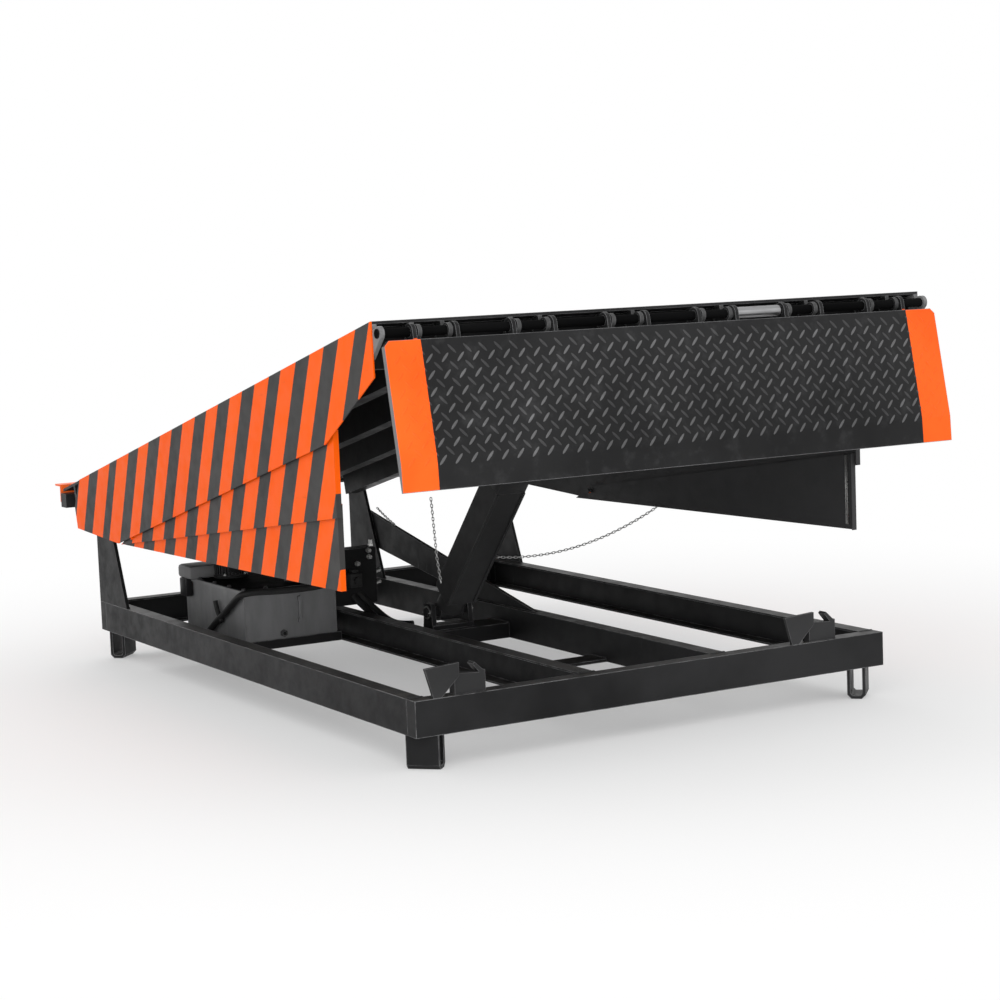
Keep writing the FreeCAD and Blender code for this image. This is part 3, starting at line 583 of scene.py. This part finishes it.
DECK_SKIN = DECK @ Matrix.Translation((0, 0, DECK_TOP))
DECK_FIELD = (-0.875, 0.875, -DECK_FRONT + 0.02, 0.045)
lug_set("deck_tread", DECK_SKIN, DECK_FIELD, LUG_LEAN, 0.0, deck_lug_skin, "deck")
lug_set("deck_tread_cross", DECK_SKIN, DECK_FIELD, -LUG_LEAN, 0.5, deck_lug_skin, "deck")
LIP_PLANE = LIP @ Matrix.Translation((0, LIP_FACE, 0)) @ Matrix.Rotation(math.pi / 2, 4, "X")
LIP_FIELD = (-0.880, 0.880, -0.338, -0.040)
lug_set("lip_tread", LIP_PLANE, LIP_FIELD, LUG_LEAN, 0.0, rising_lug_highlight, "lip")
lug_set("lip_tread_cross", LIP_PLANE, LIP_FIELD, -LUG_LEAN, 0.5, falling_lug_dim_highlight, "lip")


# Lip and front hinge
def ear_welds(name, out, y, low, high, size, body, place):
    """A bead on both sides of each ear, the ears standing this far out from their station."""
    mesh = bmesh.new()
    for middle in STATIONS:
        for x in (middle - out, middle + out):
            for side in (-EAR_HALF, EAR_HALF):
                weld(mesh, (x + side, y, low), (x + side, y, high), size, place)
    piece(name, mesh, weld_metal, body)


ear_welds("lip_lug_welds", LIP_EAR_OUT, LIP_BACK + 0.001, -0.118, -0.042, 0.004, "lip", LIP)
ear_welds("nose_ear_welds", NOSE_EAR_OUT, -DECK_FRONT + 0.035, 0.033, -0.05, 0.0038, "deck", DECK)


def lip_sleeve():
    """The bright spacer tube on the lip rod, right of the middle."""
    mesh = bmesh.new()
    start, length, radius = 0.2035, 0.163, 0.0160
    drum(mesh, stand(start, 0, 0, "X"), radius, length, segments=32)
    piece("lip_rod_sleeve", mesh, pin_steel, "lip", place=LIP)


lip_sleeve()


def deck_welds():
    """Stitch welds where the beams meet the plate, the nose bar and the tail bar."""
    mesh = bmesh.new()
    web_out, stitches, first_stitch, stitch_pitch, stitch = 0.0255, 9, -2.30, 0.26, 0.07
    under, behind_nose = DECK_UNDER - 0.001, -DECK_FRONT + 0.048
    for middle in STATIONS:
        left = middle - web_out
        for k in range(stitches):
            y = first_stitch + k * stitch_pitch
            weld(mesh, (left, y, under), (left, y + stitch, under), 0.0042, DECK)
        weld(mesh, (left, behind_nose, 0.03), (left, behind_nose, -0.06), 0.004, DECK)
    piece("beam_welds", mesh, weld_metal, "deck")


deck_welds()


# Base frame
def frame_welds():
    """Beads where rails and channels meet the beams, and under posts, foot, strap and brace."""
    mesh = bmesh.new()
    rail_web, channel_back, channel_edge = 0.742, 0.198, 0.246
    flanges = ((0.744, 0.786), (0.2, 0.244))
    beam_front, beam_rear = FRAME_FRONT + BEAM_DEPTH, FRAME_REAR - BEAM_DEPTH
    post_webs, post_front, post_rear, post_foot = (0.7772, 0.2108), 0.98, 1.215, RAIL_TOP + 0.002
    channel_face, foot_top, strap_top, brace_x = 0.197, 0.146, 0.106, 0.2225
    for side in (-1, 1):
        for x in (side * rail_web, side * channel_back, side * channel_edge):
            for y in (beam_front, beam_rear):
                weld(mesh, (x, y, RAIL_TOP - 0.001), (x, y, RAIL_LOW + 0.004), 0.004)
        for y in (beam_front - 0.001, beam_rear + 0.001):
            for near, far in flanges:
                weld(mesh, (side * near, y, RAIL_TOP), (side * far, y, RAIL_TOP), 0.0032)
        for out in post_webs:
            weld(mesh, (side * out, post_front, post_foot), (side * out, post_rear, post_foot),
                 0.0045)
        x = side * channel_face
        weld(mesh, (x, 0.075, foot_top), (x, 0.191, foot_top), 0.004)
        weld(mesh, (x, -0.515, strap_top), (x, -0.43, strap_top), 0.0035)
    weld(mesh, (brace_x, 0.0, RAIL_TOP + 0.001), (brace_x, 0.52, RAIL_TOP + 0.001), 0.004)
    piece("frame_welds", mesh, weld_metal, "base")


frame_welds()


def leg_welds():
    """Two beads under the frame at each leg, which stands turned by 45 degrees."""
    mesh = bmesh.new()
    leg_out, leg_in, leg_half, leg_wide = 0.736, 0.054, 0.02695, 0.030
    for side in (-1, 1):
        for y, end in ((FRAME_FRONT + leg_in, 1), (FRAME_REAR - leg_in, -1)):
            turn = Matrix.Rotation(math.radians(45) * side * end, 4, "Z")
            spot = Matrix.Translation((side * leg_out, y, RAIL_LOW)) @ turn
            for across in (-leg_half, leg_half):
                weld(mesh, (-leg_wide, across, -0.0015), (leg_wide, across, -0.0015), 0.0032,
                     spot)
    piece("leg_welds", mesh, weld_metal, "base")


leg_welds()


# Power pack
MOTOR_SPOT = stand(-0.480, 0.783, TANK_TOP + 0.0005)
MOTOR_FLANGE = 0.010


def motor_body():
    """A finned motor standing on the tank, in place of the plain can."""
    mesh = bmesh.new()
    fins, body_high, cover_high = 30, 0.070, 0.020
    body = MOTOR_SPOT @ Matrix.Translation((0, 0, MOTOR_FLANGE))
    cover = body @ Matrix.Translation((0, 0, body_high))
    drum(mesh, MOTOR_SPOT, 0.058, MOTOR_FLANGE, segments=40)
    drum(mesh, body, 0.047, body_high, segments=40)
    for k in range(fins):
        turn = MOTOR_SPOT @ Matrix.Rotation(math.tau * k / fins, 4, "Z")
        bar(mesh, (0.044, -0.0014, 0.013), (0.0555, 0.0014, 0.078), turn)
    drum(mesh, cover, 0.0575, cover_high, 0.053, 40)
    drum(mesh, cover @ Matrix.Translation((0, 0, cover_high)), 0.044, 0.008, 0.036, 40)
    bar(mesh, (-0.034, -0.0595, 0.022), (0.034, -0.040, 0.068), MOTOR_SPOT, 0.003)
    made = piece("motor_body", mesh, motor_enamel, "base")
    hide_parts("pack_motor")


def motor_bolts():
    """Bolts through the motor's flange."""
    mesh = bmesh.new()
    bolts = 4
    for k in range(bolts):
        turn = MOTOR_SPOT @ Matrix.Rotation(math.tau * (k + 0.5) / bolts, 4, "Z")
        hex_bolt(mesh, turn @ Matrix.Translation((0.0515, 0, MOTOR_FLANGE)), 0.009, 0.005)
    piece("motor_bolts", mesh, zinc, "base")


motor_body()
motor_bolts()


def tank_bolts():
    """Bolts round the lid and the drain plug at the front."""
    mesh = bmesh.new()
    bolt_left, bolt_right = TANK_LEFT + 0.002, TANK_RIGHT - 0.002
    for x in (bolt_left, -0.508, -0.344, bolt_right):
        for y in (TANK_FRONT + 0.009, TANK_BACK - 0.009):
            hex_bolt(mesh, stand(x, y, TANK_TOP), 0.011, 0.006)
    for y in (0.55, 0.67, 0.79):
        for x in (bolt_left, bolt_right):
            hex_bolt(mesh, stand(x, y, TANK_TOP), 0.011, 0.006)
    plug_x, plug_z, plug_high = -0.455, 0.142, 0.006
    drum(mesh, stand(plug_x, TANK_FRONT, plug_z, "-Y"), 0.013, plug_high, segments=6)
    drum(mesh, stand(plug_x, TANK_FRONT - plug_high, plug_z, "-Y"), 0.008, 0.003, 0.007, 24)
    piece("tank_bolts", mesh, frame_black, "base")


def tank_lid():
    """A thin sheet over the tank's top, black as painted shade."""
    mesh = bmesh.new()
    bar(mesh, (TANK_LEFT + 0.001, TANK_FRONT + 0.001, TANK_TOP),
        (TANK_RIGHT - 0.001, TANK_BACK - 0.001, TANK_TOP + 0.0012))
    piece("tank_lid", mesh, painted_shade_black, "base")


def filler_breather():
    """The capped filler, from its flange up to the tapered top of its cap."""
    mesh = bmesh.new()
    filler_x, filler_y = -0.370, 0.520
    for rise, high, radius, top, segments in ((0.0, 0.006, 0.030, 0.030, 36),
                                              (0.006, 0.016, 0.022, 0.022, 36),
                                              (0.022, 0.022, 0.027, 0.025, 24),
                                              (0.044, 0.004, 0.025, 0.018, 24)):
        drum(mesh, stand(filler_x, filler_y, TANK_TOP + rise), radius, high, top, segments)
    piece("filler_breather", mesh, pipe_black, "base")


def level_gauge():
    """A flat gauge between two hexagon bolts."""
    mesh = bmesh.new()
    gauge_x, gauge_low, gauge_high = -0.393, 0.178, 0.252
    for z in (gauge_low, gauge_high):
        drum(mesh, stand(gauge_x, TANK_FRONT, z, "-Y"), 0.010, 0.009, segments=6)
    bar(mesh, (gauge_x - 0.006, TANK_FRONT - 0.007, gauge_low + 0.006),
        (gauge_x + 0.006, TANK_FRONT - 0.0005, gauge_high - 0.006), round_off=0.002)
    piece("level_gauge", mesh, tank_enamel, "base")


def terminal_box():
    """The grey box at the tank's rear left corner and the bracket under it."""
    mesh = bmesh.new()
    bar(mesh, (-0.622, 0.800, TANK_TOP), (-0.500, 0.912, TANK_TOP + 0.046), round_off=0.012)
    piece("terminal_box", mesh, box_enamel, "base")
    mesh = bmesh.new()
    bar(mesh, (-0.618, 0.852, 0.232), (-0.5905, 0.908, TANK_TOP), round_off=0.005)
    piece("terminal_bracket", mesh, frame_black, "base")


def tank_seams():
    """Beads down the tank's two front corners."""
    mesh = bmesh.new()
    for x in (TANK_LEFT, TANK_RIGHT):
        weld(mesh, (x, TANK_FRONT + 0.0005, TANK_LOW + 0.004),
             (x, TANK_FRONT + 0.0005, TANK_TOP - 0.013), 0.0032)
    piece("tank_seams", mesh, tank_enamel, "base")


tank_bolts()
tank_lid()
filler_breather()
level_gauge()
terminal_box()
tank_seams()


# Pump block
def fitting(mesh, place, across, collar, high):
    """A pipe fitting: a hexagon collar and a round stub."""
    drum(mesh, place, across, collar, segments=6)
    drum(mesh, place @ Matrix.Translation((0, 0, collar)), 0.0065, high, segments=24)


def pipe_fittings():
    """Fittings on the pump block's front, top and right side."""
    mesh = bmesh.new()
    for x, z in ((-0.135, 0.386), (-0.133, 0.364), (-0.178, 0.345)):
        fitting(mesh, stand(x, PUMP_FRONT, z, "-Y"), 0.0085, 0.008, 0.010)
    fitting(mesh, stand(-0.112, 0.448, PUMP_TOP), 0.0085, 0.008, 0.014)
    for z in (0.3126, 0.274):
        fitting(mesh, stand(PUMP_RIGHT, 0.444, z, "X"), 0.0095, 0.010, 0.012)
    piece("pipe_fittings", mesh, zinc, "base")


def valve_coil():
    """A square coil in front of the pump block, with its nut and plug."""
    mesh = bmesh.new()
    coil_x, coil_front, coil_low, coil_top = -0.200, PUMP_FRONT - 0.042, 0.270, 0.318
    bar(mesh, (coil_x - 0.022, coil_front, coil_low), (coil_x + 0.022, PUMP_FRONT, coil_top),
        round_off=0.004)
    drum(mesh, stand(coil_x, coil_front, (coil_low + coil_top) / 2, "-Y"), 0.012, 0.014,
         segments=28)
    bar(mesh, (coil_x - 0.012, coil_front + 0.008, coil_top),
        (coil_x + 0.012, PUMP_FRONT - 0.008, coil_top + 0.012), round_off=0.002)
    piece("valve_coil", mesh, pipe_black, "base")


def pump_motor_fins():
    """Cooling fins and end cover behind the pump block."""
    mesh = bmesh.new()
    motor_x, motor_z, fin_radius = -0.183, 0.259, 0.0535
    fins, first_fin, fin_pitch = 9, 0.505, 0.019
    for k in range(fins):
        drum(mesh, stand(motor_x, first_fin + k * fin_pitch, motor_z, "Y"), fin_radius, 0.006,
             segments=40)
    drum(mesh, stand(motor_x, 0.684, motor_z, "Y"), fin_radius, 0.014, 0.048, 40)
    piece("pump_motor_fins", mesh, motor_enamel, "base")


pipe_fittings()
valve_coil()
pump_motor_fins()

# Oil pipes: along the tank's left side and front to the pump, and from the pump to the lift
PIPE_RADIUS, STUB_RADIUS = 0.011, 0.008
pipe("return_pipe", [(-0.600, 0.715, 0.128), (-0.600, 0.690, 0.142), (-0.601, 0.640, 0.172),
                     (-0.602, 0.563, 0.210), (-0.604, 0.481, 0.256), (-0.603, 0.434, 0.281),
                     (-0.586, 0.413, 0.290), (-0.545, 0.409, 0.291), (-0.480, 0.409, 0.286),
                     (-0.380, 0.411, 0.284), (-0.320, 0.412, 0.286), (-0.268, 0.404, 0.300),
                     (-0.246, 0.400, 0.335), (-0.240, 0.412, 0.362), (-0.238, 0.427, 0.370)],
     PIPE_RADIUS, pipe_black, "base")
pipe("suction_pipe", [(-0.603, 0.637, 0.242), (-0.603, 0.632, 0.224), (-0.603, 0.616, 0.200),
                      (-0.602, 0.592, 0.178)], STUB_RADIUS, pipe_black, "base")
pipe("pressure_pipe", [(-0.170, 0.430, 0.243), (-0.166, 0.418, 0.232), (-0.156, 0.400, 0.216),
                       (-0.150, 0.380, 0.2034), (-0.1455, 0.340, 0.1874),
                       (-0.1409, 0.300, 0.1715), (-0.134, 0.262, 0.161), (-0.120, 0.225, 0.158),
                       (-0.096, 0.195, 0.160)],
     PIPE_RADIUS, pipe_black, "base")
pipe("drain_pipe", [(-0.193, 0.430, 0.236), (-0.189, 0.418, 0.225), (-0.179, 0.399, 0.209),
                    (-0.173, 0.379, 0.1964), (-0.1685, 0.340, 0.1804),
                    (-0.1639, 0.300, 0.1645), (-0.160, 0.268, 0.154), (-0.158, 0.240, 0.146)],
     PIPE_RADIUS, pipe_black, "base")


# Lift cylinder
STRUT_HEAD = 0.648
STRUT_LOW, STRUT_HIGH = 0.086, 0.598
STRUT_HALF_WIDTH, STRUT_HALF_DEPTH = 0.052, 0.045
FOOT_Y, FOOT_Z = 0.128, 0.203


def strut_edge_bars():
    """Flat bars along the four edges of the cylinder's housing."""
    mesh = bmesh.new()
    for side in (-1, 1):
        low, high = sorted((side * STRUT_HALF_WIDTH, side * 0.0425))
        for near, far in ((-0.049, -0.0445), (0.0445, 0.049)):
            bar(mesh, (low, near, STRUT_LOW), (high, far, STRUT_HIGH), LIFT, 0.001)
    piece("strut_edge_bars", mesh, strut_black_painted_light, "barrel", smooth=False)


def strut_head():
    """The block that closes the housing's upper end."""
    mesh = bmesh.new()
    bar(mesh, (-STRUT_HALF_WIDTH, -STRUT_HALF_DEPTH, STRUT_HIGH + 0.0015),
        (STRUT_HALF_WIDTH, STRUT_HALF_DEPTH, STRUT_HEAD), LIFT, 0.002)
    piece("strut_head", mesh, strut_black_painted_light, "barrel")


def rod_gland():
    """The bolted gland that the rod slides through."""
    mesh = bmesh.new()
    gland = LIFT @ Matrix.Translation((0, 0, STRUT_HEAD))
    gland_high, gland_bolts = 0.010, 6
    drum(mesh, gland, 0.038, gland_high, segments=40)
    drum(mesh, gland @ Matrix.Translation((0, 0, gland_high)), 0.032, 0.006, 0.029, 40)
    for k in range(gland_bolts):
        turn = gland @ Matrix.Rotation(math.tau * k / gland_bolts, 4, "Z")
        hex_bolt(mesh, turn @ Matrix.Translation((0.0325, 0, gland_high)), 0.005, 0.003)
    piece("rod_gland", mesh, zinc, "barrel")


def foot_pin_washers():
    """Washers and split pins at the ends of the foot's pin."""
    mesh = bmesh.new()
    for x in (-0.0795, 0.076):
        drum(mesh, stand(x, FOOT_Y, FOOT_Z, "X"), 0.022, 0.0035, segments=28)
    for x in (-0.0817, 0.0817):
        drum(mesh, stand(x, FOOT_Y - 0.021, FOOT_Z, "Y"), 0.0015, 0.042, segments=10)
    piece("foot_pin_washers", mesh, zinc, "base")


strut_edge_bars()
strut_head()
rod_gland()
foot_pin_washers()


# Chains
LINK_WIRE, LINK_BEND, LINK_STRETCH = 0.0014, 0.0032, 0.0031
LINK_PITCH = 2 * (LINK_BEND + LINK_STRETCH) - 2 * LINK_WIRE + 0.0006
LINK_SLANT = 0.3


def chain(name, path, body, joint=None):
    """Welded links along a path, each turned a quarter from the last.

    A chain on a joint gets a mesh of its own."""
    link = bmesh.new()
    ring = bmesh.ops.create_circle(link, segments=6, radius=LINK_WIRE,
                                   matrix=Matrix.Translation((LINK_BEND, 0, 0))
                                   @ Matrix.Rotation(math.pi / 2, 4, "X"))
    bmesh.ops.spin(link, geom=ring["verts"] + edges_at(ring["verts"]), cent=(0, 0, 0),
                   axis=(0, 0, 1), angle=math.tau, steps=12, use_merge=True,
                   use_normal_flip=False)
    for v in link.verts:
        if abs(v.co.y) > 1e-5:
            v.co.y += math.copysign(LINK_STRETCH, v.co.y)
    bmesh.ops.remove_doubles(link, verts=link.verts, dist=1e-6)
    shape = bpy.data.meshes.new(name + "_link")
    link.to_mesh(shape)
    link.free()
    points = [Vector(p) for p in path]
    lengths = [(b - a).length for a, b in zip(points, points[1:])]
    count = int(sum(lengths) / LINK_PITCH)
    mesh = bmesh.new()
    for k in range(count):
        rest = (k + 0.5) * LINK_PITCH
        leg = 0
        while rest > lengths[leg]:
            rest -= lengths[leg]
            leg += 1
        way = (points[leg + 1] - points[leg]).normalized()
        spot = points[leg] + way * rest
        lie = way.to_track_quat("Y", "Z").to_matrix().to_4x4()
        turn = Matrix.Rotation(math.pi / 2 * (k % 2) + LINK_SLANT, 4, "Y")
        first = len(mesh.verts)
        mesh.from_mesh(shape)
        mesh.verts.ensure_lookup_table()
        bmesh.ops.transform(mesh, matrix=Matrix.Translation(spot) @ lie @ turn,
                            verts=mesh.verts[first:])
    bpy.data.meshes.remove(shape)
    made = piece(name, mesh, chain_steel, body)
    if joint:
        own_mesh(made)


def hang(start, end, sag, count=24):
    """Points of a hanging line between two ends."""
    start, end = Vector(start), Vector(end)
    return [start.lerp(end, k / count) - Vector((0, 0, 4 * sag * (k / count) * (1 - k / count)))
            for k in range(count + 1)]


SAFETY_TOP, SAFETY_END = (0.442, -0.4552, 0.5483), (0.054, -0.075, 0.3935)
LATCH_TOP = (-0.147, -0.0587, 0.5997)
chain("safety_chain", hang(SAFETY_TOP, SAFETY_END, 0.050), "deck", "deck_hinge")
chain("latch_chain", [LATCH_TOP, (-0.147, -0.0821, 0.4133), (-0.147, -0.1027, 0.3327)], "deck",
      "deck_hinge")
chain("brace_chain", hang((0.205, 1.010, 0.452), (0.205, 0.872, 0.400), 0.003, 8), "base")


# Toe guards
GUARD_INNER = 0.8768


def guard_strips():
    """Bare steel wear strips inside the front fold of each low guard."""
    for side, name in ((-1, "left"), (1, "right")):
        mesh = bmesh.new()
        low, high = sorted((side * GUARD_INNER, side * (GUARD_INNER - 0.0036)))
        bar(mesh, (low, -0.862, 0.488), (high, -0.850, 0.702), round_off=0.001)
        piece(f"guard_strip_{name}", mesh, zinc, f"fan_low_{name}")


guard_strips()


# Lip keepers
def keeper_welds():
    """Beads along the feet of the lip keepers on the front beam."""
    mesh = bmesh.new()
    seat_y, tip_y = FRAME_FRONT + 0.0415, FRAME_FRONT + 0.011
    for x in (-0.663, 0.524):
        weld(mesh, (x + 0.003, seat_y, RAIL_TOP), (x + 0.092, seat_y, RAIL_TOP), 0.0035)
        weld(mesh, (x - 0.068, tip_y, RAIL_TOP), (x - 0.048, tip_y, RAIL_TOP), 0.003)
    piece("keeper_welds", mesh, weld_metal, "base")


keeper_welds()


# Studio
AIR_LIGHT = 0.86
LAMP_AIM = Vector((0, 0, 0.5))
LAMPS = (  # name, place, width, watts
    ("key", (-3.4, -4.3, 4.6), 3.0, 44.0),
    ("fill", (3.5, -5.0, 3.2), 3.5, 24.0),
    ("low", (-2.6, -4.6, 0.9), 3.0, 62.0),
    ("rear", (1.0, 5.0, 4.5), 3.5, 60.0),
)


def floor_paper():
    """Pale paper that keeps the shadow near the object and runs out to plain white."""
    f = Finish("studio_floor")
    f.finish(rgb(0.88, 0.88, 0.88), 0.9, specular=0.1)
    sight = f.node("ShaderNodeLightPath")
    seen = f.sum("MAXIMUM", sight.outputs["Is Camera Ray"],
                 f.sum("MAXIMUM", sight.outputs["Is Glossy Ray"],
                       sight.outputs["Is Transmission Ray"]))
    away = f.node("ShaderNodeVectorMath", {"operation": "LENGTH"})
    f.feed(away.inputs[0], f.place)
    far = f.sum("MULTIPLY", f.step(away.outputs["Value"], 1.6, 3.6, 0.35), seen)
    white = f.node("ShaderNodeEmission", Color=rgb(1, 1, 1), Strength=1.0)
    both = f.node("ShaderNodeMixShader")
    f.feed(both.inputs[0], far)
    f.feed(both.inputs[1], f.surface.outputs[0])
    f.feed(both.inputs[2], white.outputs[0])
    out = next(n for n in f.tree.nodes if n.type == "OUTPUT_MATERIAL")
    f.feed(out.inputs["Surface"], both.outputs[0])
    return f.material


def lay_floor():
    """A plain sheet under the object that catches its shadow."""
    mesh = bmesh.new()
    bmesh.ops.create_grid(mesh, x_segments=1, y_segments=1, size=30)
    data = bpy.data.meshes.new("studio_floor")
    mesh.to_mesh(data)
    mesh.free()
    data.materials.append(floor_paper())
    floor = bpy.data.objects.new("studio_floor", data)
    floor.location.z = -0.0005
    studio.collection.objects.link(floor)


def light_air():
    """Even light from all round, seen as plain white by the camera and in reflections."""
    world = bpy.data.worlds.new("studio_air")
    world.use_nodes = True
    tree = world.node_tree
    tree.nodes.clear()
    out = tree.nodes.new("ShaderNodeOutputWorld")
    mix = tree.nodes.new("ShaderNodeMixShader")
    lit, shown = tree.nodes.new("ShaderNodeBackground"), tree.nodes.new("ShaderNodeBackground")
    lit.inputs["Color"].default_value = rgb(1, 1, 1)
    lit.inputs["Strength"].default_value = AIR_LIGHT
    shown.inputs["Color"].default_value = rgb(1, 1, 1)
    shown.inputs["Strength"].default_value = 1.0
    path = tree.nodes.new("ShaderNodeLightPath")
    straight, seen = tree.nodes.new("ShaderNodeMath"), tree.nodes.new("ShaderNodeMath")
    straight.operation = seen.operation = "MAXIMUM"
    tree.links.new(path.outputs["Is Camera Ray"], straight.inputs[0])
    tree.links.new(path.outputs["Is Transmission Ray"], straight.inputs[1])
    tree.links.new(straight.outputs[0], seen.inputs[0])
    tree.links.new(path.outputs["Is Glossy Ray"], seen.inputs[1])
    tree.links.new(seen.outputs[0], mix.inputs[0])
    tree.links.new(lit.outputs[0], mix.inputs[1])
    tree.links.new(shown.outputs[0], mix.inputs[2])
    tree.links.new(mix.outputs[0], out.inputs["Surface"])
    studio.world = world


def hang_lamps():
    """Soft square lamps, all aimed at the middle of the object."""
    for name, spot, size, power in LAMPS:
        lamp = bpy.data.lights.new(name, "AREA")
        lamp.energy, lamp.size = power, size
        lamp_object = bpy.data.objects.new(name, lamp)
        aim = LAMP_AIM - Vector(spot)
        lamp_object.matrix_world = (Matrix.Translation(spot)
                                    @ aim.to_track_quat("-Z", "Y").to_matrix().to_4x4())
        studio.collection.objects.link(lamp_object)


lay_floor()
light_air()
hang_lamps()
studio.view_settings.view_transform = "Standard"
